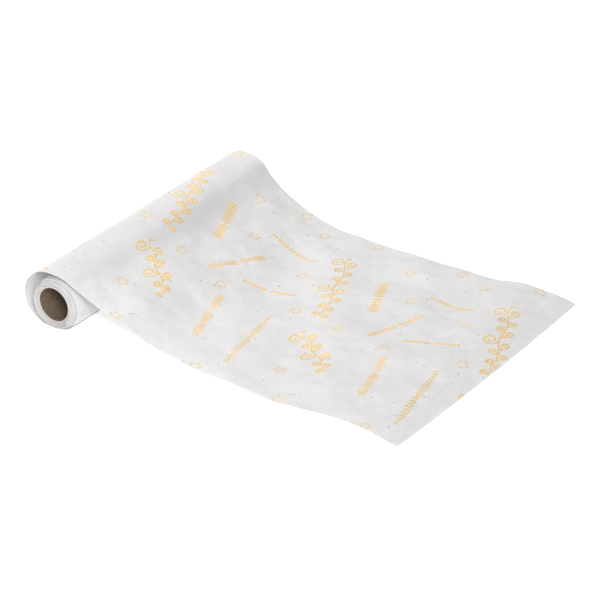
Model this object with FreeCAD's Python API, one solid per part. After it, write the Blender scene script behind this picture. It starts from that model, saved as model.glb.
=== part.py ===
"""A short roll of printed wrapping web with its free end paid out flat on the table.

The roll lies along Y. The web leaves the top of the roll towards +X, slopes down to the table and
lies flat to its cut end. Millimetres, +Z up. The table is the plane z = 0, and the origin is the
middle of the whole part's footprint.
"""
import FreeCAD
import Part

import math
import os

# Driving dimensions
WEB_WIDTH = 300.0           # the web and the core are cut to the same width
WEB_THICKNESS = 0.2
BORE_RADIUS = 16.5          # inside of the cardboard core
BOARD_PLY = 0.5             # one spiral-wound ply of the core's wall
TIGHT_RADIUS = 21.0         # the turns that are still tight on the core
TURNING_GAP = 0.3           # between the tight turns and the slack ones around them
SLACK_RADIUS = 25.2         # outside of the slack turns, which hang off centre
SLACK_OFFSET_X = 3.2
SLACK_OFFSET_Z = 1.7
TURN_GAP = 0.4              # between the slack turns and the outermost turn
OUTER_TURN_RADIUS = 28.0    # the outermost turn bulges away behind the roll
OUTER_TURN_OFFSET_X = -6.5
OUTER_TURN_START = 310.0    # degrees round the slack turns, where the outermost turn leaves them
FLAT_START = 210.0          # from the roll's axis to where the whole web lies flat
PAID_OUT = 372.0            # from the roll's axis to the cut end

# The slope from the top of the roll to the table, as its angle and the radii of the bends at its
# top and foot. The near edge stays up longer than the far edge, so the slope is twisted.
NEAR_SLOPE = (20.0, 74.0, 270.0)
FAR_SLOPE = (35.0, 44.0, 120.0)

# Places that follow from them
HALF_WIDTH = WEB_WIDTH / 2
CORE_RADIUS = BORE_RADIUS + 3 * BOARD_PLY
AXIS_Z = WEB_THICKNESS + TURN_GAP + SLACK_RADIUS - SLACK_OFFSET_Z
LENGTH = OUTER_TURN_RADIUS - OUTER_TURN_OFFSET_X + PAID_OUT
AXIS_X = LENGTH / 2 - PAID_OUT
SLACK_X = AXIS_X + SLACK_OFFSET_X
SLACK_Z = AXIS_Z + SLACK_OFFSET_Z
OUTER_TURN_X = AXIS_X + OUTER_TURN_OFFSET_X
OUTER_TURN_Z = OUTER_TURN_RADIUS


def axis_point(x, y, z):
    """A point given from the foot of the roll's axis."""
    return FreeCAD.Vector(AXIS_X + x, y, z)


def on_circle(centre_x, centre_z, radius, degrees):
    """A point on a circle about a line along Y, at an angle up from +X, on the near edge."""
    angle = math.radians(degrees)
    return FreeCAD.Vector(
        centre_x + radius * math.cos(angle), -HALF_WIDTH, centre_z + radius * math.sin(angle)
    )


def cylinder(centre_x, centre_z, radius):
    """A full-width cylinder along Y."""
    start = FreeCAD.Vector(centre_x, -HALF_WIDTH, centre_z)
    return Part.makeCylinder(radius, WEB_WIDTH, start, FreeCAD.Vector(0, 1, 0))


def tube(inner_radius, outer_radius):
    """A full-width tube on the roll's axis."""
    outer = cylinder(AXIS_X, AXIS_Z, outer_radius)
    return outer.cut(cylinder(AXIS_X, AXIS_Z, inner_radius))


def core_ply(number):
    """One ply of the cardboard core, counted from the bore."""
    inner_radius = BORE_RADIUS + number * BOARD_PLY
    return tube(inner_radius, inner_radius + BOARD_PLY)


def tight_turns():
    """The web that is still wound tight on the core."""
    return tube(CORE_RADIUS, TIGHT_RADIUS)


def slack_turns():
    """The turns that have sprung loose: a ring, round inside and off centre outside."""
    outer = cylinder(SLACK_X, SLACK_Z, SLACK_RADIUS)
    return outer.cut(cylinder(AXIS_X, AXIS_Z, TIGHT_RADIUS + TURNING_GAP))


def turn_line(inset):
    """The outermost turn's section on the near edge, drawn inset from its outer face."""
    bulge = OUTER_TURN_RADIUS - inset
    hug = SLACK_Z - inset
    top, behind, bottom = [
        on_circle(OUTER_TURN_X, OUTER_TURN_Z, bulge, degrees) for degrees in (90, 180, 270)
    ]
    under, middle, start = [
        on_circle(SLACK_X, SLACK_Z, hug, degrees)
        for degrees in (270, (270 + OUTER_TURN_START) / 2, OUTER_TURN_START)
    ]
    edges = [
        Part.Arc(top, behind, bottom).toShape(),
        Part.LineSegment(bottom, under).toShape(),
        Part.Arc(under, middle, start).toShape(),
    ]
    return edges, top, start


def outer_turn():
    """The outermost turn: from the slack turns, under the roll, up behind it and to its top."""
    outside, outside_top, outside_start = turn_line(0.0)
    inside, inside_top, inside_start = turn_line(WEB_THICKNESS)
    ends = [
        Part.LineSegment(outside_top, inside_top).toShape(),
        Part.LineSegment(outside_start, inside_start).toShape(),
    ]
    outline = Part.Wire(Part.__sortEdges__(outside + inside + ends))
    return Part.Face(outline).extrude(FreeCAD.Vector(0, WEB_WIDTH, 0))


def slope_edges(slope, y, inset):
    """The sloping web's bends and straights at one edge, drawn inset from its upper face."""
    angle, top_radius, foot_radius = slope
    across = math.sin(math.radians(angle))
    down = 1 - math.cos(math.radians(angle))
    half_across = math.sin(math.radians(angle / 2))
    half_down = 1 - math.cos(math.radians(angle / 2))

    top_x = OUTER_TURN_OFFSET_X
    top_z = 2 * OUTER_TURN_RADIUS - inset
    top_bend = top_radius - inset
    straight_x = top_x + top_bend * across
    straight_z = top_z - top_bend * down

    foot_z = WEB_THICKNESS - inset
    foot_bend = foot_radius + inset
    fall = straight_z - foot_z - foot_bend * down
    curl_x = straight_x + fall / math.tan(math.radians(angle))
    foot_x = curl_x + foot_bend * across

    points = [
        axis_point(top_x, y, top_z),
        axis_point(top_x + top_bend * half_across, y, top_z - top_bend * half_down),
        axis_point(straight_x, y, straight_z),
        axis_point(curl_x, y, straight_z - fall),
        axis_point(foot_x - foot_bend * half_across, y, foot_z + foot_bend * half_down),
        axis_point(foot_x, y, foot_z),
        axis_point(FLAT_START, y, foot_z),
    ]
    edges = [
        Part.Arc(points[0], points[1], points[2]).toShape(),
        Part.LineSegment(points[2], points[3]).toShape(),
        Part.Arc(points[3], points[4], points[5]).toShape(),
        Part.LineSegment(points[5], points[6]).toShape(),
    ]
    return edges, points[0], points[-1]


def slope_section(slope, y):
    """The sloping web's closed section at one edge."""
    upper, upper_top, upper_foot = slope_edges(slope, y, 0.0)
    lower, lower_top, lower_foot = slope_edges(slope, y, WEB_THICKNESS)
    foot_end = Part.LineSegment(upper_foot, lower_foot).toShape()
    top_end = Part.LineSegment(lower_top, upper_top).toShape()
    return Part.Wire(Part.__sortEdges__(upper + [foot_end] + lower + [top_end]))


def paid_out_slope():
    """The web from the top of the roll down to the table, twisted between its two edges."""
    sections = [slope_section(NEAR_SLOPE, -HALF_WIDTH), slope_section(FAR_SLOPE, HALF_WIDTH)]
    return Part.makeLoft(sections, True, True)


def paid_out_flat():
    """The web lying flat on the table, to its straight cut end."""
    return Part.makeBox(
        PAID_OUT - FLAT_START, WEB_WIDTH, WEB_THICKNESS, axis_point(FLAT_START, -HALF_WIDTH, 0)
    )


nodes = {
    "core_inner_ply": core_ply(0),
    "core_middle_ply": core_ply(1),
    "core_outer_ply": core_ply(2),
    "tight_turns": tight_turns(),
    "slack_turns": slack_turns(),
    "outer_turn": outer_turn(),
    "paid_out_slope": paid_out_slope(),
    "paid_out_flat": paid_out_flat(),
}

os.makedirs("parts", exist_ok=True)
for name, shape in nodes.items():
    box = shape.BoundBox
    print(
        f"{name}: valid {shape.isValid()}, solids {len(shape.Solids)},"
        f" volume {shape.Volume / 1000:.2f} cm3,"
        f" x {box.XMin:.2f} to {box.XMax:.2f}, z {box.ZMin:.2f} to {box.ZMax:.2f}"
    )
    shape.exportStep(f"parts/{name}.step")
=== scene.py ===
import math
import random

import bpy
import numpy as np
from mathutils import Matrix, Vector


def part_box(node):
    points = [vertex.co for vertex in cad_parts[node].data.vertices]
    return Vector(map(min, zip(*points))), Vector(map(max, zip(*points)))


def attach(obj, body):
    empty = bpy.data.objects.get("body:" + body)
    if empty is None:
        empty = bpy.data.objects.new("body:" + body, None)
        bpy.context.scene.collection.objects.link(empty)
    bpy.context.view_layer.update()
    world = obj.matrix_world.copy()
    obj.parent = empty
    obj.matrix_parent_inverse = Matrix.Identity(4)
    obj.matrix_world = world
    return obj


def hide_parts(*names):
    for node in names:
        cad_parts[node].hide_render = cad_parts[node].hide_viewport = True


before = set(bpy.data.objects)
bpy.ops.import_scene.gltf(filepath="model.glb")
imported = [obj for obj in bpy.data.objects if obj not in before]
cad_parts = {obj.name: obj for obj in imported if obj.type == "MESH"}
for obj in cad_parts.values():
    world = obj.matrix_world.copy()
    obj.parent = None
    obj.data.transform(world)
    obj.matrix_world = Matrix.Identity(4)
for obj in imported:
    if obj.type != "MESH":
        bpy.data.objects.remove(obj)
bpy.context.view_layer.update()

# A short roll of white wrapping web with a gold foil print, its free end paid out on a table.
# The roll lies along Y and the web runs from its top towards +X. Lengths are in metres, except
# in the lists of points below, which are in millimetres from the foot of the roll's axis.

MM = 0.001

# ---------------------------------------------------------------- places that the frame gives
core_low, core_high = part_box("core_outer_ply")
tight_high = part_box("tight_turns")[1]
slack_low, slack_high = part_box("slack_turns")
AXIS_X = (core_low.x + core_high.x) / 2
AXIS_Z = (core_low.z + core_high.z) / 2
HALF_WIDTH = core_high.y
CORE_RADIUS = core_high.x - AXIS_X
TIGHT_RADIUS = tight_high.x - AXIS_X
SLACK_RADIUS = (slack_high.x - slack_low.x) / 2
SLACK_OFFSET_X = (slack_high.x + slack_low.x) / 2 - AXIS_X
SLACK_OFFSET_Z = (slack_high.z + slack_low.z) / 2 - AXIS_Z
CUT_END_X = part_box("paid_out_flat")[1].x

# ---------------------------------------------------------------- the web's own sizes
WEB_THICKNESS = 0.2 * MM
TIGHT_TURNS = 14
SLACK_TURNS = 6.5
REPEAT = 180 * MM                 # the print repeats this often along the web
CUT_BOW = 2.6 * MM                # how far the middle of the cut end stands out
LOWEST = 0.15                     # of the paid-out web before it is crumpled, in millimetres
RESTING = 0.6 * WEB_THICKNESS     # the least height of its middle after that

# How finely its sheets are divided
STEPS_PER_TURN = 120
EDGE_INSETS = [0, 0.4, 0.9, 1.6, 2.6, 4.2, 7, 14, 35, 80]   # millimetres in from each edge
LINE_STEPS = 900
SHEET_ROWS = 281
SHEET_COLUMNS = 121

# The edges of the wound turns, which curl inwards and fluff out where there is room
CURL_REACH = 2.4 * MM
FRAY_REACH = 7 * MM
WOUND_THICKNESS = 0.8 * WEB_THICKNESS
FLUFFED_THICKNESS = 2.4 * WEB_THICKNESS
FLUFFED_SHARE = 0.55              # of the room between two turns

# Height of the web's near and far edges above the table, as (distance from the axis, height).
NEAR_EDGE = [
    (-6.5, 55.3), (0, 55.1), (9, 54.2), (17, 51.8), (25, 48.4), (35, 45.0), (45, 41.4),
    (55, 37.8), (70, 32.0), (85, 26.4), (103, 19.8), (123, 15.2), (143, 11.2), (161, 8.0),
    (191, 6.6), (217, 5.2), (243, 3.8), (262, 4.6), (280, 6.0), (300, 7.4), (317, 8.2),
    (340, 6.0), (359, 2.6), (372, 0.3),
]
FAR_EDGE = [
    (-6.5, 58.4), (-1, 58.6), (9, 57.0), (15, 55.0), (19, 52.6), (23, 48.2), (27, 43.0),
    (32, 37.6), (43, 29.6), (54, 22.6), (71, 14.2), (88, 8.2), (109, 3.9), (143, 2.0),
    (178, 1.2), (215, 0.9), (240, 0.3), (262, 0.3), (289, 2.0), (315, 4.2), (340, 5.0),
    (355, 3.9), (372, 0.3),
]
# The outermost turn, from the roll's top, down behind it and under it to the slack turns.
OUTER_TURN = [
    (-6.5, 55.3), (-13.5, 53.9), (-20.5, 50.8), (-27.0, 45.6), (-31.9, 38.8), (-34.2, 31.5),
    (-34.3, 24.0), (-32.8, 17.2), (-29.8, 11.6), (-25.5, 7.2), (-19.8, 3.4), (-13.0, 1.0),
    (-5.0, 0.25), (3.2, 0.15), (9.8, 1.0), (16.0, 3.5), (20.1, 6.4),
]


# ---------------------------------------------------------------- curves and surfaces
def cubic(t, start, leave, end, arrive):
    """A cubic from start to end, with its slopes at both ends, at t from 0 to 1."""
    return (
        (1 + 2 * t) * (1 - t) ** 2 * start + t * (1 - t) ** 2 * leave
        + t * t * (3 - 2 * t) * end + t * t * (t - 1) * arrive
    )


def smooth_heights(points, x):
    """Heights at x on a smooth line through (place, height) points."""
    places, heights = np.array(points, float).T
    slopes = np.gradient(heights, places)
    span = np.clip(np.searchsorted(places, x) - 1, 0, len(places) - 2)
    width = places[span + 1] - places[span]
    t = np.clip((x - places[span]) / width, 0, 1)
    return cubic(
        t, heights[span], width * slopes[span], heights[span + 1], width * slopes[span + 1]
    )


def smooth_route(points, per_span=16):
    """Points on a Catmull-Rom curve through a route's points."""
    route = np.array(points, float)
    before = np.vstack([2 * route[0] - route[1], route[:-2]])
    after = np.vstack([route[2:], 2 * route[-1] - route[-2]])
    t = np.linspace(0, 1, per_span, endpoint=False)[:, None]
    spans = [
        cubic(t, start, (end - back) / 2, end, (ahead - start) / 2)
        for start, end, back, ahead in zip(route[:-1], route[1:], before, after)
    ]
    return np.vstack(spans + [route[-1:]])


def ripples(seed, count, longest, shortest, height):
    """A smooth field of random waves over (along, across). Longer waves may be higher."""
    draw = random.Random(seed)
    waves = []
    for _ in range(count):
        length = math.exp(draw.uniform(math.log(shortest), math.log(longest)))
        turn = draw.uniform(0, math.pi)
        size = height * (length / longest) ** 1.3 * draw.uniform(0.5, 1.0)
        phase = draw.uniform(0, 2 * math.pi)
        waves.append((2 * math.pi / length, turn, phase, size))

    def field(along, across):
        total = np.zeros(np.broadcast(along, across).shape)
        for pace, turn, phase, size in waves:
            way = math.cos(turn) * along + math.sin(turn) * across
            total = total + size * np.sin(pace * way + phase)
        return total

    return field


def surface_normals(points):
    """Unit normals of a grid of points (along, across, xyz)."""
    along = np.gradient(points, axis=0)
    across = np.gradient(points, axis=1)
    normals = np.cross(across, along)
    return normals / np.linalg.norm(normals, axis=2, keepdims=True)


SHARP_ANGLE = math.radians(50)


def new_piece(name, vertices, faces, material, body):
    """A mesh object from arrays, shaded smooth except at its sharp edges."""
    mesh = bpy.data.meshes.new(name)
    mesh.from_pydata(np.asarray(vertices).tolist(), [], np.asarray(faces).tolist())
    mesh.validate()
    mesh.materials.append(material)
    for polygon in mesh.polygons:
        polygon.use_smooth = True
    mesh.set_sharp_from_angle(angle=SHARP_ANGLE)
    piece = bpy.data.objects.new(name, mesh)
    bpy.context.scene.collection.objects.link(piece)
    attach(piece, body)
    return piece


def web_piece(name, middle, thickness, material, body):
    """A closed thin sheet around a grid of points. thickness is a number or a grid of them."""
    rows, columns = middle.shape[:2]
    half = surface_normals(middle) * np.broadcast_to(thickness, (rows, columns))[:, :, None] / 2
    upper = middle + half
    lower = middle - half
    index = np.arange(rows * columns).reshape(rows, columns)
    under = index + rows * columns

    def quads(a, b, c, d):
        return np.stack([a, b, c, d], axis=-1).reshape(-1, 4)

    faces = np.vstack([
        quads(index[:-1, :-1], index[:-1, 1:], index[1:, 1:], index[1:, :-1]),
        quads(under[:-1, :-1], under[1:, :-1], under[1:, 1:], under[:-1, 1:]),
        quads(index[:-1, 0], index[1:, 0], under[1:, 0], under[:-1, 0]),
        quads(index[:-1, -1], under[:-1, -1], under[1:, -1], index[1:, -1]),
        quads(index[0, :-1], under[0, :-1], under[0, 1:], index[0, 1:]),
        quads(index[-1, :-1], index[-1, 1:], under[-1, 1:], under[-1, :-1]),
    ])
    vertices = np.vstack([upper.reshape(-1, 3), lower.reshape(-1, 3)])
    return new_piece(name, vertices, faces, material, body)


# ---------------------------------------------------------------- materials
WHITE = (1.0, 1.0, 1.0)


def grey(level):
    return (level, level, level)


def node_material(name, roughness, metallic=0.0):
    """A new material with its node tree and Principled shader."""
    material = bpy.data.materials.new(name)
    material.use_nodes = True
    tree = material.node_tree
    shader = tree.nodes["Principled BSDF"]
    shader.inputs["Roughness"].default_value = roughness
    shader.inputs["Metallic"].default_value = metallic
    return material, tree, shader


def object_coordinates(tree, scale=(1, 1, 1), turn=(0, 0, 0)):
    """Object coordinates in metres, scaled and turned."""
    place = tree.nodes.new("ShaderNodeTexCoord")
    mapping = tree.nodes.new("ShaderNodeMapping")
    mapping.inputs["Scale"].default_value = scale
    mapping.inputs["Rotation"].default_value = turn
    tree.links.new(place.outputs["Object"], mapping.inputs["Vector"])
    return mapping.outputs["Vector"]


def noise(tree, vector, scale, detail=3.0, rough=0.5):
    """A noise texture's value output."""
    node = tree.nodes.new("ShaderNodeTexNoise")
    node.inputs["Scale"].default_value = scale
    node.inputs["Detail"].default_value = detail
    node.inputs["Roughness"].default_value = rough
    tree.links.new(vector, node.inputs["Vector"])
    return node.outputs["Fac"]


def ramp(tree, value, stops):
    """A colour ramp over a value, from (position, colour) stops."""
    node = tree.nodes.new("ShaderNodeValToRGB")
    elements = node.color_ramp.elements
    while len(elements) < len(stops):
        elements.new(0.5)
    for element, (position, colour) in zip(elements, stops):
        element.position = position
        element.color = (*colour, 1)
    tree.links.new(value, node.inputs["Fac"])
    return node.outputs["Color"]


# The colour sockets of a Mix node, whose names its other kinds of socket share
MIX_FIRST, MIX_SECOND, MIX_RESULT = 6, 7, 2


def mix_colours(tree, first, second, share, blend="MIX"):
    """Two colours mixed. share is a number or a socket."""
    node = tree.nodes.new("ShaderNodeMix")
    node.data_type = "RGBA"
    node.blend_type = blend
    if isinstance(share, (int, float)):
        node.inputs["Factor"].default_value = share
    else:
        tree.links.new(share, node.inputs["Factor"])
    tree.links.new(first, node.inputs[MIX_FIRST])
    tree.links.new(second, node.inputs[MIX_SECOND])
    return node.outputs[MIX_RESULT]


def bump(tree, shader, heights):
    """Bumps from (value, strength, distance) entries, chained onto the shader's normal."""
    normal = None
    for value, strength, distance in heights:
        node = tree.nodes.new("ShaderNodeBump")
        node.inputs["Strength"].default_value = strength
        node.inputs["Distance"].default_value = distance
        tree.links.new(value, node.inputs["Height"])
        if normal is not None:
            tree.links.new(normal, node.inputs["Normal"])
        normal = node.outputs["Normal"]
    tree.links.new(normal, shader.inputs["Normal"])


LIGHT_LET_THROUGH = 0.36          # the translucent share of the web's shading


def web_material():
    """Soft white fibrous web that lets some light through: cloudy, with fibres both ways."""
    material, tree, shader = node_material("soft_white_web", 0.85)
    shader.inputs["Sheen Weight"].default_value = 0.8
    shader.inputs["Sheen Roughness"].default_value = 0.35
    plain = object_coordinates(tree)
    clouds = noise(tree, plain, 95, 4, 0.6)
    flecks = noise(tree, plain, 420, 3, 0.55)
    lengthways = noise(tree, object_coordinates(tree, (1, 7, 3), (0, 0, 0.4)), 260, 3, 0.6)
    crossways = noise(tree, object_coordinates(tree, (7, 1, 3), (0, 0, -0.3)), 240, 3, 0.6)
    body = ramp(tree, clouds, [(0.30, (0.744, 0.736, 0.736)), (0.70, (0.800, 0.793, 0.790))])
    fibres = mix_colours(
        tree,
        ramp(tree, lengthways, [(0.35, grey(0.90)), (0.62, WHITE)]),
        ramp(tree, crossways, [(0.35, grey(0.91)), (0.62, WHITE)]),
        1.0,
        "MULTIPLY",
    )
    fine = ramp(tree, flecks, [(0.25, grey(0.93)), (0.75, WHITE)])
    mixed = mix_colours(tree, body, fibres, 0.45, "MULTIPLY")
    colour = mix_colours(tree, mixed, fine, 0.6, "MULTIPLY")
    tree.links.new(colour, shader.inputs["Base Color"])
    bump(tree, shader, [
        (clouds, 0.30, 0.45 * MM),
        (lengthways, 0.22, 0.15 * MM),
        (crossways, 0.22, 0.15 * MM),
        (flecks, 0.2, 0.06 * MM),
    ])

    glow = tree.nodes.new("ShaderNodeBsdfTranslucent")
    tree.links.new(colour, glow.inputs["Color"])
    both = tree.nodes.new("ShaderNodeMixShader")
    both.inputs["Fac"].default_value = LIGHT_LET_THROUGH
    tree.links.new(shader.outputs["BSDF"], both.inputs[1])
    tree.links.new(glow.outputs["BSDF"], both.inputs[2])
    tree.links.new(both.outputs["Shader"], tree.nodes["Material Output"].inputs["Surface"])
    return material


FOIL_METALLIC = 0.35
FOIL_SPECULAR = 0.3


def foil_material(name, dark, light, roughness):
    """Stamped metal foil, a little broken where the web's fibres stand through it."""
    material, tree, shader = node_material(name, roughness, FOIL_METALLIC)
    shader.inputs["Specular IOR Level"].default_value = FOIL_SPECULAR
    plain = object_coordinates(tree)
    wear = noise(tree, plain, 900, 4, 0.6)
    drift = noise(tree, plain, 60, 2, 0.5)
    worn = ramp(tree, wear, [(0.35, dark), (0.65, light)])
    drifted = ramp(tree, drift, [(0.3, (0.90, 0.88, 0.86)), (0.7, WHITE)])
    tree.links.new(mix_colours(tree, worn, drifted, 1.0, "MULTIPLY"), shader.inputs["Base Color"])
    bump(tree, shader, [(wear, 0.3, 0.05 * MM)])
    return material


WINDING_TURN = 0.9                # slant of the spiral winding, in radians


def board_material(name, dark, light):
    """Grey-brown chipboard with a pale trimmed rim. Its fibres run with the spiral winding."""
    material, tree, shader = node_material(name, 0.9)
    plain = object_coordinates(tree)
    wound = object_coordinates(tree, (3, 1, 3), (WINDING_TURN, 0, 0))
    strands = noise(tree, wound, 330, 4, 0.65)
    specks = noise(tree, plain, 1500, 2, 0.5)
    slanted = object_coordinates(tree, (1, 1, 1), (WINDING_TURN, 0, 0))
    bands = noise(tree, slanted, 40, 2, 0.4)
    fibre = ramp(tree, strands, [(0.3, dark), (0.7, light)])
    spotted = ramp(tree, specks, [(0.32, (0.72, 0.70, 0.68)), (0.45, WHITE)])
    banded = ramp(tree, bands, [(0.3, (0.82, 0.80, 0.79)), (0.7, WHITE)])
    colour = mix_colours(tree, fibre, spotted, 0.7, "MULTIPLY")
    colour = mix_colours(tree, colour, banded, 1.0, "MULTIPLY")

    # The rim is the part that faces along the roll.
    place = tree.nodes.new("ShaderNodeTexCoord")
    split = tree.nodes.new("ShaderNodeSeparateXYZ")
    tree.links.new(place.outputs["Normal"], split.inputs["Vector"])
    facing = tree.nodes.new("ShaderNodeMath")
    facing.operation = "ABSOLUTE"
    tree.links.new(split.outputs["Y"], facing.inputs[0])
    rim = ramp(tree, specks, [(0.35, (0.36, 0.33, 0.31)), (0.6, (0.52, 0.49, 0.47))])
    colour = mix_colours(tree, colour, rim, facing.outputs["Value"])
    tree.links.new(colour, shader.inputs["Base Color"])
    bump(tree, shader, [(strands, 0.5, 0.2 * MM), (specks, 0.3, 0.08 * MM)])
    return material


WEB = web_material()
GOLD = foil_material("gold_foil", (0.66, 0.48, 0.21), (0.83, 0.645, 0.34), 0.72)
SILVER = foil_material("grey_foil", (0.26, 0.26, 0.27), (0.42, 0.42, 0.43), 0.45)
# The board inside the bore gets darker colours than the other plies: the board's own brown, with
# painted shade for the deep bore on top.
SHADED_BORE_BOARD = board_material("board_inside", (0.100, 0.067, 0.042), (0.220, 0.160, 0.112))
PLY_BOARD = board_material("board_plies", (0.30, 0.23, 0.18), (0.46, 0.37, 0.30))


# ---------------------------------------------------------------- the core
def finish_core():
    """The core's three plies keep their CAD shapes and get board materials."""
    # The inside ply gets the board with painted shade for the bore.
    for node, material in (
        ("core_inner_ply", SHADED_BORE_BOARD),
        ("core_middle_ply", PLY_BOARD),
        ("core_outer_ply", PLY_BOARD),
    ):
        for place in bpy.data.objects[node].material_slots:
            place.material = material


# ---------------------------------------------------------------- the wound web
NICKS_PER_TURN = 3.5


class Spiral:
    """A stretch of wound web, from its outer end inwards.

    start is in degrees, radii are its first and last, centre is where its first turn stands off
    the roll's axis, slides are how far its turns have slid along the roll in millimetres, and
    lean is how much of the room between two turns its edges lean inwards by.
    """

    def __init__(self, turns, start, radii, centre, slides, lean, seed):
        self.turns = turns
        self.start = math.radians(start)
        self.radii = radii
        self.centre = centre
        self.slides = slides
        self.lean = lean
        self.seed = seed

    def edge_line(self, turned):
        """How far the edges wander along the roll, with a few small nicks and folds."""
        waves = ripples(self.seed, count=14, longest=1.1, shortest=0.05, height=0.40 * MM)
        wander = waves(turned, 0 * turned)
        draw = random.Random(self.seed)
        for _ in range(int(NICKS_PER_TURN * self.turns)):
            place = draw.uniform(0, self.turns)
            depth = draw.uniform(-0.8, 1.8) * MM
            reach = draw.uniform(0.01, 0.03)
            wander = wander + depth * np.exp(-((turned - place) / reach) ** 2)
        return wander

    def grid(self):
        """Points of the web (along, across, xyz), close near its edges, and its thickness."""
        steps = int(self.turns * STEPS_PER_TURN)
        way = np.linspace(0, 1, steps + 1)
        turned = way * self.turns
        angle = self.start + turned * 2 * math.pi
        width = 2 * HALF_WIDTH
        inset = np.array(EDGE_INSETS) * MM
        across = np.concatenate([inset, [width / 2], (width - inset)[::-1]]) - HALF_WIDTH
        from_edge = np.minimum(across + HALF_WIDTH, HALF_WIDTH - across)
        to_edge = np.exp(-from_edge / FRAY_REACH)
        curled = np.exp(-((from_edge / CURL_REACH) ** 1.5))

        radius = self.radii[0] + (self.radii[1] - self.radii[0]) * way
        off_centre = math.atan2(self.centre[1], self.centre[0])
        room = math.hypot(*self.centre) * np.cos(angle - off_centre)
        room = (self.radii[0] - self.radii[1] + room) / self.turns
        waves = ripples(self.seed, count=12, longest=1.3, shortest=0.12, height=0.16 * MM)
        flutter = waves(turned, 0 * turned)
        ragged = self.edge_line(turned)
        slide = np.interp(way, np.linspace(0, 1, len(self.slides)), self.slides) * MM

        grid = np.zeros((len(way), len(across), 3))
        fluffed = np.clip(FLUFFED_SHARE * room, WOUND_THICKNESS, FLUFFED_THICKNESS)
        thickness = WOUND_THICKNESS + np.outer(fluffed - WOUND_THICKNESS, curled)
        for column, place in enumerate(across):
            r = radius + flutter * to_edge[column] - self.lean * room * curled[column]
            grid[:, column, 0] = AXIS_X + self.centre[0] * (1 - way) + r * np.cos(angle)
            grid[:, column, 1] = place - slide + ragged * to_edge[column]
            grid[:, column, 2] = AXIS_Z + self.centre[1] * (1 - way) + r * np.sin(angle)
        return grid, thickness

    def length(self):
        return self.turns * math.pi * (self.radii[0] + self.radii[1])


def wound_web():
    """The turns that have sprung loose, and the turns that are still tight on the core."""
    slack = Spiral(
        SLACK_TURNS, start=313, radii=(SLACK_RADIUS - 0.1 * MM, TIGHT_RADIUS + 0.45 * MM),
        centre=(SLACK_OFFSET_X, SLACK_OFFSET_Z), slides=(0.0, 0.7, 1.6, 2.3, 2.6),
        lean=0.8, seed=31,
    )
    tight = Spiral(
        TIGHT_TURNS, start=150, radii=(TIGHT_RADIUS - 0.15 * MM, CORE_RADIUS + 0.12 * MM),
        centre=(0, 0), slides=(2.6, 2.3, 1.4, 0.5, -0.6), lean=0.4, seed=47,
    )
    slack_grid, slack_thickness = slack.grid()
    tight_grid, tight_thickness = tight.grid()
    slack_piece = web_piece("web_slack_turns", slack_grid, slack_thickness, WEB, "web")
    tight_piece = web_piece("web_tight_turns", tight_grid, tight_thickness, WEB, "roll")
    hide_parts("slack_turns")
    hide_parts("tight_turns")
    tight.length()
    return slack, slack_grid, slack_piece


# ---------------------------------------------------------------- the paid-out web
# Broad soft dents and rises: (from the axis, across, height, reach along, reach across, turn)
SWELLS = [
    (40, 60, -2.6, 34, 60, 0.3),
    (75, -40, 2.0, 40, 70, -0.4),
    (120, 20, -1.8, 40, 60, 0.5),
    (165, -60, 1.6, 38, 50, -0.5),
    (215, 10, 2.0, 30, 90, 0.55),
    (260, 70, -0.8, 30, 60, 0.2),
    (285, -40, 2.2, 28, 70, 0.35),
    (330, 30, 1.8, 22, 80, 0.25),
]


def web_height(x, across):
    """Height of the paid-out web above the table, in millimetres."""
    share = across / round(2 * HALF_WIDTH / MM) + 0.5
    height = (1 - share) * smooth_heights(NEAR_EDGE, x) + share * smooth_heights(FAR_EDGE, x)
    for place, side, rise, reach_along, reach_across, turn in SWELLS:
        dx = x - place
        dy = across - side
        along = (dx * math.cos(turn) + dy * math.sin(turn)) / reach_along
        aside = (dy * math.cos(turn) - dx * math.sin(turn)) / reach_across
        height = height + rise * np.exp(-(along * along) - aside * aside)
    return np.maximum(height, LOWEST)


def paid_out_web():
    """The outermost turn, the slope and the part on the table: one sheet, and its grid."""
    behind = smooth_route(OUTER_TURN)
    top_x, top_height = OUTER_TURN[0]
    across = np.linspace(-HALF_WIDTH, HALF_WIDTH, SHEET_COLUMNS)
    rows = []
    lengths = []
    for place in across:
        cut = CUT_END_X - AXIS_X + CUT_BOW * (1 - (place / HALF_WIDTH) ** 2)
        x_line = np.linspace(cut / MM, top_x, LINE_STEPS)
        slope = np.column_stack([x_line, web_height(x_line, place / MM)])
        stretch = slope[-1, 1] / top_height
        line = np.vstack([slope, behind[1:] * (1, stretch)])
        steps = np.hypot(*np.diff(line, axis=0).T)
        rows.append((np.concatenate([[0], np.cumsum(steps)]), line))
        lengths.append(steps.sum())
    length = min(lengths)
    along = np.linspace(0, length, SHEET_ROWS)
    grid = np.zeros((len(along), len(across), 3))
    for column, (travelled, line) in enumerate(rows):
        grid[:, column, 0] = AXIS_X + np.interp(along, travelled, line[:, 0]) * MM
        grid[:, column, 1] = across[column]
        grid[:, column, 2] = np.interp(along, travelled, line[:, 1]) * MM

    # Crumples, which are weak at the cut end and on the roll
    waves = ripples(11, count=30, longest=90, shortest=14, height=0.55 * MM)
    crumple = waves(along[:, None], across[None, :] / MM)
    past_cut = np.clip((along - 8) / 20, 0.15, 1)[:, None]
    off_roll = np.clip((grid[:, :, 0] - AXIS_X) / (45 * MM), 0.25, 1)
    grid += surface_normals(grid) * (crumple * past_cut * off_roll)[:, :, None]
    grid[:, :, 2] = np.maximum(grid[:, :, 2], RESTING)
    return web_piece("web_sheet", grid, WEB_THICKNESS, WEB, "web"), grid, length * MM


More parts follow.
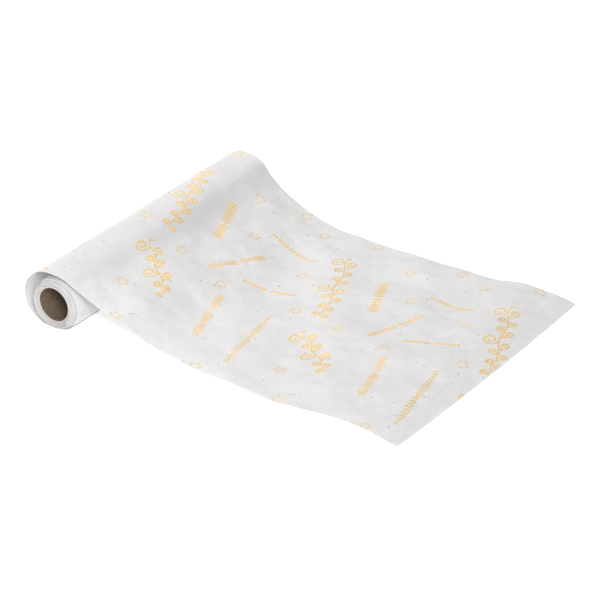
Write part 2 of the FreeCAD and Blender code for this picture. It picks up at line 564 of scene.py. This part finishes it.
# ---------------------------------------------------------------- the print
class Web:
    """A printed face of the web: turns (along, across) places in metres into points."""

    def __init__(self, grid, length):
        self.points = grid
        self.normals = surface_normals(grid)
        self.length = length

    def holds(self, along, across, margin=0.5 * MM):
        """Whether a place is on the web and clear of its edges."""
        return (margin < along < self.length - margin) and abs(across) < HALF_WIDTH - margin

    def place(self, along, across, lift):
        """The point at a place, lift above the web's face."""
        rows, columns = self.points.shape[:2]
        i = np.clip(along / self.length * (rows - 1), 0, rows - 1.001)
        side = (across + HALF_WIDTH) / (2 * HALF_WIDTH)
        j = np.clip(side * (columns - 1), 0, columns - 1.001)
        a, b = int(i), int(j)
        s, t = i - a, j - b

        def blend(grid):
            return (
                grid[a, b] * (1 - s) * (1 - t) + grid[a + 1, b] * s * (1 - t)
                + grid[a, b + 1] * (1 - s) * t + grid[a + 1, b + 1] * s * t
            )

        return blend(self.points) + blend(self.normals) * (WEB_THICKNESS / 2 + lift)


class Print:
    """Foil strokes laid on the web: collects closed thin ribbons for one mesh."""

    def __init__(self, web):
        self.web = web
        self.vertices = []
        self.faces = []
        self.strokes = 0

    def ribbon(self, path, widths, closed=False):
        """A stroke through (along, across) points with a width at each of them."""
        self.strokes += 1
        # Strokes that cross lie at slightly different heights.
        raised = (0.05 + 0.01 * (self.strokes % 4)) * MM
        sunk = -0.04 * MM
        count = len(path)
        run = []
        for k, (point, width) in enumerate(zip(path, widths)):
            ahead = path[(k + 1) % count] if closed else path[min(k + 1, count - 1)]
            back = path[k - 1] if closed else path[max(k - 1, 0)]
            way = np.subtract(ahead, back)
            size = math.hypot(*way)
            if size < 1e-9 or not self.web.holds(*point):
                self.close_run(run)
                run = []
                continue
            aside = np.array([-way[1], way[0]]) / size * width / 2
            left, right = np.add(point, aside), np.subtract(point, aside)
            run.append([
                self.web.place(*left, raised), self.web.place(*right, raised),
                self.web.place(*right, sunk), self.web.place(*left, sunk),
            ])
        self.close_run(run, closed and len(run) == count)

    def close_run(self, run, loop=False):
        """Adds one unbroken stretch of ribbon, with its ends capped unless it is a loop."""
        if len(run) < 2:
            return
        first = len(self.vertices)
        for ring in run:
            self.vertices.extend(ring)
        spans = len(run) if loop else len(run) - 1
        for k in range(spans):
            a = first + 4 * k
            b = first + 4 * ((k + 1) % len(run))
            for side in range(4):
                after = (side + 1) % 4
                self.faces.append((a + side, b + side, b + after, a + after))
        if not loop:
            last = first + 4 * (len(run) - 1)
            self.faces.append((first, first + 1, first + 2, first + 3))
            self.faces.append((last + 3, last + 2, last + 1, last))

    def piece(self, name, material):
        return new_piece(name, self.vertices, self.faces, material, "web")


def placed(points, centre, turn):
    """A motif's own (x, y) points turned and moved onto the web's (along, across) plane."""
    cos, sin = math.cos(turn), math.sin(turn)
    return [
        (centre[0] + x * cos - y * sin, centre[1] + x * sin + y * cos) for x, y in points
    ]


def swelling(count, thin, thick):
    """Widths for a stroke that swells in the middle."""
    return [thin + (thick - thin) * math.sin(math.pi * k / (count - 1)) for k in range(count)]


LEAF_STEPS = (0.0, 0.3, 0.6, 0.85, 1.0)
LAUREL_STEPS = (0.0, 0.25, 0.5, 0.75, 1.0)
STEM_SPANS = 24


def straight(length, spans=STEM_SPANS):
    """Points along a motif's middle line."""
    return [((k / spans - 0.5) * length, 0) for k in range(spans + 1)]


def lozenge(foil, middle, centre, turn, height, thin, thick):
    """A filled lozenge that stands across a motif's middle line, middle along it."""
    shape = [(middle, level * height) for level in (-0.5, -0.25, 0, 0.25, 0.5)]
    foil.ribbon(placed(shape, centre, turn), swelling(len(shape), thin, thick))


def vine(foil, centre, turn, length, curls, heavy):
    """A pen-drawn vine: a waving stem with volutes on alternate sides, leaves and berries.

    curls are (share of the length, side, radius in millimetres), and heavy is the widest stroke.
    """
    wave = 1.6 * MM
    stem_spans = 48
    volute_spans = 30
    sweep = 2.7 * math.pi

    def stem_at(share):
        return (share - 0.5) * length, wave * math.sin(share * 5 * math.pi)

    stem = [stem_at(k / stem_spans) for k in range(stem_spans + 1)]
    foil.ribbon(placed(stem, centre, turn), swelling(len(stem), 0.6 * MM, 0.8 * heavy))
    for share, side, size in curls:
        foot_x, foot_y = stem_at(share)
        radius = size * MM
        path = []
        for k in range(volute_spans + 1):
            t = k / volute_spans
            bend = -math.pi / 2 + t * sweep
            reach = radius * (1 - 0.72 * t)
            x = foot_x + 0.25 * radius + reach * math.cos(bend)
            y = foot_y + side * (radius + reach * math.sin(bend))
            path.append((x + 0.3 * (y - foot_y), y))
        foil.ribbon(placed(path, centre, turn), swelling(len(path), 0.5 * MM, heavy))
        berry(foil, placed([path[-1]], centre, turn)[0], 0.42 * heavy + 0.09 * radius)
        leaf = [
            (foot_x - (0.3 + 0.32 * s) * radius, foot_y - side * 0.62 * s * radius)
            for s in LEAF_STEPS
        ]
        foil.ribbon(placed(leaf, centre, turn), swelling(len(leaf), 0.4 * MM, 1.25 * heavy))


def berry(foil, middle, radius):
    """A small filled round spot."""
    steps = (-1.0, -0.86, -0.5, 0.0, 0.5, 0.86, 1.0)
    spans = (0.1, 0.5, 0.87, 1.0, 0.87, 0.5, 0.1)
    path = [(middle[0] + s * radius, middle[1]) for s in steps]
    foil.ribbon(path, [2 * radius * w for w in spans])


def frond(foil, centre, turn, length, height, pitch, bare_at):
    """A fern frond: a stem with close slanted leaflets on both sides, bare in one place."""
    stem = straight(length)
    foil.ribbon(placed(stem, centre, turn), [0.7 * MM] * len(stem))
    count = int(length / pitch)
    for k in range(count):
        foot = ((k + 0.5) / count - 0.5) * length
        if abs(foot - bare_at * length) < 1.1 * pitch:
            continue
        size = height * (0.46 + 0.10 * math.sin(1.9 * k) + 0.06 * math.sin(0.7 * k))
        for side in (-1, 1):
            leaflet = [(foot + 0.42 * s * size, side * s * size) for s in LEAF_STEPS]
            widths = swelling(len(leaflet), 0.5 * MM, 0.62 * pitch)
            foil.ribbon(placed(leaflet, centre, turn), widths)


def laurel(foil, centre, turn, length, height, pitch):
    """Two laurel sprays that meet at a berry: plump leaves in pairs, smaller to each tip."""
    stem = straight(length)
    foil.ribbon(placed(stem, centre, turn), swelling(len(stem), 0.5 * MM, 0.9 * MM))
    berry(foil, centre, 0.2 * height)
    pairs = int(0.5 * length / pitch)
    for way in (-1, 1):
        for k in range(pairs):
            foot = (0.35 + k) / pairs * 0.5 * length
            size = height * 0.5 * (1 - 0.5 * (k / pairs) ** 2)
            for side in (-1, 1):
                leaf = [
                    (way * (foot + 0.95 * s * size), side * s * size)
                    for s in LAUREL_STEPS
                ]
                widths = swelling(len(leaf), 0.4 * MM, 0.40 * pitch)
                foil.ribbon(placed(leaf, centre, turn), widths)


def lozenge_row(foil, centre, turn, length, height, count, bead_at):
    """A band of tall lozenges threaded on a line, with a bead in place of one of them."""
    line = straight(length, spans=12)
    foil.ribbon(placed(line, centre, turn), [0.6 * MM] * len(line))
    pitch = length / count
    for k in range(count):
        middle = (k + 0.5) * pitch - length / 2
        if k == bead_at:
            berry(foil, placed([(middle, 0)], centre, turn)[0], 0.32 * pitch)
            continue
        lozenge(foil, middle, centre, turn, height, 0.3 * MM, 0.76 * pitch)


def bead_row(foil, centre, turn, length, count, size, gap_at):
    """A row of beads and small filled lozenges in turn, with one left out."""
    for k in range(count):
        if k == gap_at:
            continue
        middle = ((k + 0.5) / count - 0.5) * length
        if k % 2:
            berry(foil, placed([(middle, 0)], centre, turn)[0], 0.36 * size)
        else:
            lozenge(foil, middle, centre, turn, size, 0.4 * MM, 0.5 * size)


STAR_POINTS = 5
STAR_INNER = 0.52                 # its inner corners' radius as a share of its outer one
STAR_STROKE = 0.95 * MM


def star(foil, centre, turn, radius):
    """The outline of a five-pointed star, with its corners a little rounded."""
    corners = []
    for k in range(2 * STAR_POINTS):
        reach = radius if k % 2 == 0 else STAR_INNER * radius
        angle = k * math.pi / STAR_POINTS
        corners.append((reach * math.cos(angle), reach * math.sin(angle)))
    path = []
    for k in range(2 * STAR_POINTS):
        here, after = np.array(corners[k]), np.array(corners[(k + 1) % (2 * STAR_POINTS)])
        for s in (0.12, 0.5, 0.88):
            path.append(tuple(here + (after - here) * s))
    foil.ribbon(placed(path, centre, turn), [STAR_STROKE] * len(path), closed=True)


# One repeat of the print. Places are (along from the cut end, across) in millimetres, and turns
# are degrees from the way that leads away from the cut end.
STARS = [
    (160, 114, 20), (155, -17, 75), (156, -104, 40), (130, 67, 10), (101, -24, 50),
    (61, 50, 85), (118, 140, 30), (128, -145, 60), (36, -146, 15), (87, 127, 65),
    (26, -11, 35), (35, 143, 5),
]
STAR_RADIUS = 6.2 * MM
LONG_LAUREL_REPEATS = 2           # it is left off from here on, where the web tops the roll
DOTS_PER_REPEAT = 46

# The vines' curls: (share of the length, side, radius)
TALL_VINE = [
    (0.06, 1, 7.4), (0.12, -1, 6.0), (0.20, 1, 4.6), (0.26, -1, 4.2), (0.33, 1, 4.6),
    (0.41, -1, 5.0), (0.49, 1, 7.8), (0.56, -1, 5.4), (0.63, 1, 4.8), (0.70, -1, 4.4),
    (0.77, 1, 4.6), (0.84, -1, 4.4), (0.91, 1, 4.2), (0.97, -1, 3.6),
]
SHORT_VINE = [
    (0.09, 1, 7.6), (0.20, -1, 5.6), (0.32, 1, 5.0), (0.43, -1, 5.2), (0.55, 1, 7.4),
    (0.66, -1, 5.4), (0.77, 1, 4.8), (0.88, -1, 4.8), (0.96, 1, 4.0),
]


def print_repeat(scrolls, rows, stars, start, number):
    """Every gold motif of one repeat, whose cut-end side is at start along the web."""

    def at(along, across):
        return (start + along * MM, across * MM)

    def turned(degrees):
        return math.radians(degrees)

    vine(scrolls, at(21, 47), turned(-111), length=122 * MM, curls=TALL_VINE, heavy=2.1 * MM)
    vine(scrolls, at(151, -60), turned(-141), length=78 * MM, curls=SHORT_VINE, heavy=2.3 * MM)
    lozenge_row(rows, at(160, 58), turned(-111), length=58 * MM, height=12 * MM, count=15, bead_at=8)
    frond(
        rows, at(115, 18), turned(-250), length=64 * MM, height=7.0 * MM, pitch=2.5 * MM, bare_at=0.02
    )
    laurel(rows, at(95, 83), turned(-175), length=52 * MM, height=6.0 * MM, pitch=3.7 * MM)
    bead_row(rows, at(69, 7), turned(-196), length=52 * MM, count=15, size=5.2 * MM, gap_at=7)
    frond(
        rows, at(79, -72), turned(-108), length=72 * MM, height=8.0 * MM, pitch=2.9 * MM, bare_at=-0.12
    )
    if number < LONG_LAUREL_REPEATS:
        laurel(rows, at(28, -80), turned(-101), length=94 * MM, height=7.4 * MM, pitch=4.3 * MM)
    for along, across, turn in STARS:
        star(stars, at(along, across), turned(turn), STAR_RADIUS)


def print_web(sheet, slack):
    """The print, repeated from the cut end. The slack turns get only its dots."""
    scrolls, rows, stars, dots = foils = [Print(sheet) for _ in range(4)]
    draw = random.Random(7)
    places = []
    for _ in range(DOTS_PER_REPEAT):
        along = draw.uniform(0, REPEAT)
        across = draw.uniform(-HALF_WIDTH, HALF_WIDTH)
        places.append((along, across, draw.uniform(0.5, 0.85) * MM))
    whole = sheet.length + math.pi * SLACK_RADIUS
    for number in range(-1, math.ceil(whole / REPEAT)):
        start = number * REPEAT
        for web, offset in ((sheet, 0), (slack, sheet.length)):
            for foil in foils:
                foil.web = web
            if web is sheet:
                print_repeat(scrolls, rows, stars, start - offset, number)
            for along, across, size in places:
                berry(dots, (start - offset + along, across), size)
    return [
        scrolls.piece("print_scrolls", GOLD),
        rows.piece("print_rows", GOLD),
        stars.piece("print_stars", GOLD),
        dots.piece("print_dots", SILVER),
    ]


# ---------------------------------------------------------------- the studio
WORLD_STRENGTH = 0.19
FLOOR_REACH = 12.0                # from the origin to each side of the floor
FLOOR_COLOUR = grey(0.93)
FLOOR_GLOW = 0.40

# Lamps that face the origin: (name, place, diameter, watts)
LAMPS = (
    ("front_right", (2.7, -2.8, 2.65), 2.0, 240),
    ("left", (-3.2, -0.5, 2.0), 2.4, 52),
    ("near_left", (-0.8, -0.1, 0.9), 0.7, 7.6),
    ("near_back_left", (-0.7, 0.5, 0.8), 0.7, 3.0),
)

# The camera's place, as a direction and a distance from the point at the middle of its view
CAMERA_AZIMUTH = math.radians(35.63)
CAMERA_ELEVATION = math.radians(28.48)
CAMERA_ROLL = math.radians(-1.0)
CAMERA_DISTANCE = 2.521
CAMERA_TARGET = Vector((AXIS_X + 0.100, 0.0935, -0.0513))
SENSOR_WIDTH = 36                 # millimetres, as is the focal length
FOCAL_LENGTH = 156.4


def white_room(scene):
    """A plain white table top under an even white world."""
    scene.view_settings.view_transform = "Standard"
    world = bpy.data.worlds.new("studio")
    world.use_nodes = True
    background = world.node_tree.nodes["Background"]
    background.inputs["Color"].default_value = (*WHITE, 1)
    background.inputs["Strength"].default_value = WORLD_STRENGTH
    scene.world = world

    side = FLOOR_REACH
    corners = [(-side, -side, 0), (side, -side, 0), (side, side, 0), (-side, side, 0)]
    mesh = bpy.data.meshes.new("table_top")
    mesh.from_pydata(corners, [], [(0, 1, 2, 3)])
    table, tree, shader = node_material("table_white", 0.7)
    shader.inputs["Base Color"].default_value = (*FLOOR_COLOUR, 1)
    shader.inputs["Emission Color"].default_value = (*WHITE, 1)
    shader.inputs["Emission Strength"].default_value = FLOOR_GLOW
    mesh.materials.append(table)
    floor = bpy.data.objects.new("table_top", mesh)
    scene.collection.objects.link(floor)


def soft_light(scene):
    """Large round lamps, hidden from the camera."""
    for name, place, size, power in LAMPS:
        lamp = bpy.data.lights.new(name, "AREA")
        lamp.shape = "DISK"
        lamp.size = size
        lamp.energy = power
        light = bpy.data.objects.new(name, lamp)
        light.visible_camera = False
        light.location = place
        light.rotation_mode = "QUATERNION"
        light.rotation_quaternion = (-Vector(place)).to_track_quat("-Z", "Y")
        scene.collection.objects.link(light)


def view_camera(scene):
    """A long-lens camera from the front right, looking down."""
    back = Vector((
        math.sin(CAMERA_AZIMUTH) * math.cos(CAMERA_ELEVATION),
        -math.cos(CAMERA_AZIMUTH) * math.cos(CAMERA_ELEVATION),
        math.sin(CAMERA_ELEVATION),
    ))
    data = bpy.data.cameras.new("camera")
    data.sensor_width = SENSOR_WIDTH
    data.lens = FOCAL_LENGTH
    camera = bpy.data.objects.new("camera", data)
    camera.rotation_mode = "QUATERNION"
    camera.location = CAMERA_TARGET + back * CAMERA_DISTANCE
    facing = (-back).to_track_quat("-Z", "Y").to_matrix()
    camera.rotation_quaternion = (facing @ Matrix.Rotation(CAMERA_ROLL, 3, "Z")).to_quaternion()
    scene.collection.objects.link(camera)
    bpy.context.scene.camera = camera


finish_core()
slack, slack_grid, slack_piece = wound_web()
sheet_piece, sheet_grid, sheet_length = paid_out_web()
print_pieces = print_web(Web(sheet_grid, sheet_length), Web(slack_grid, slack.length()))

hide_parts("outer_turn", "paid_out_slope", "paid_out_flat")
slack.length()

studio_scene = bpy.context.scene
white_room(studio_scene)
soft_light(studio_scene)
view_camera(studio_scene)
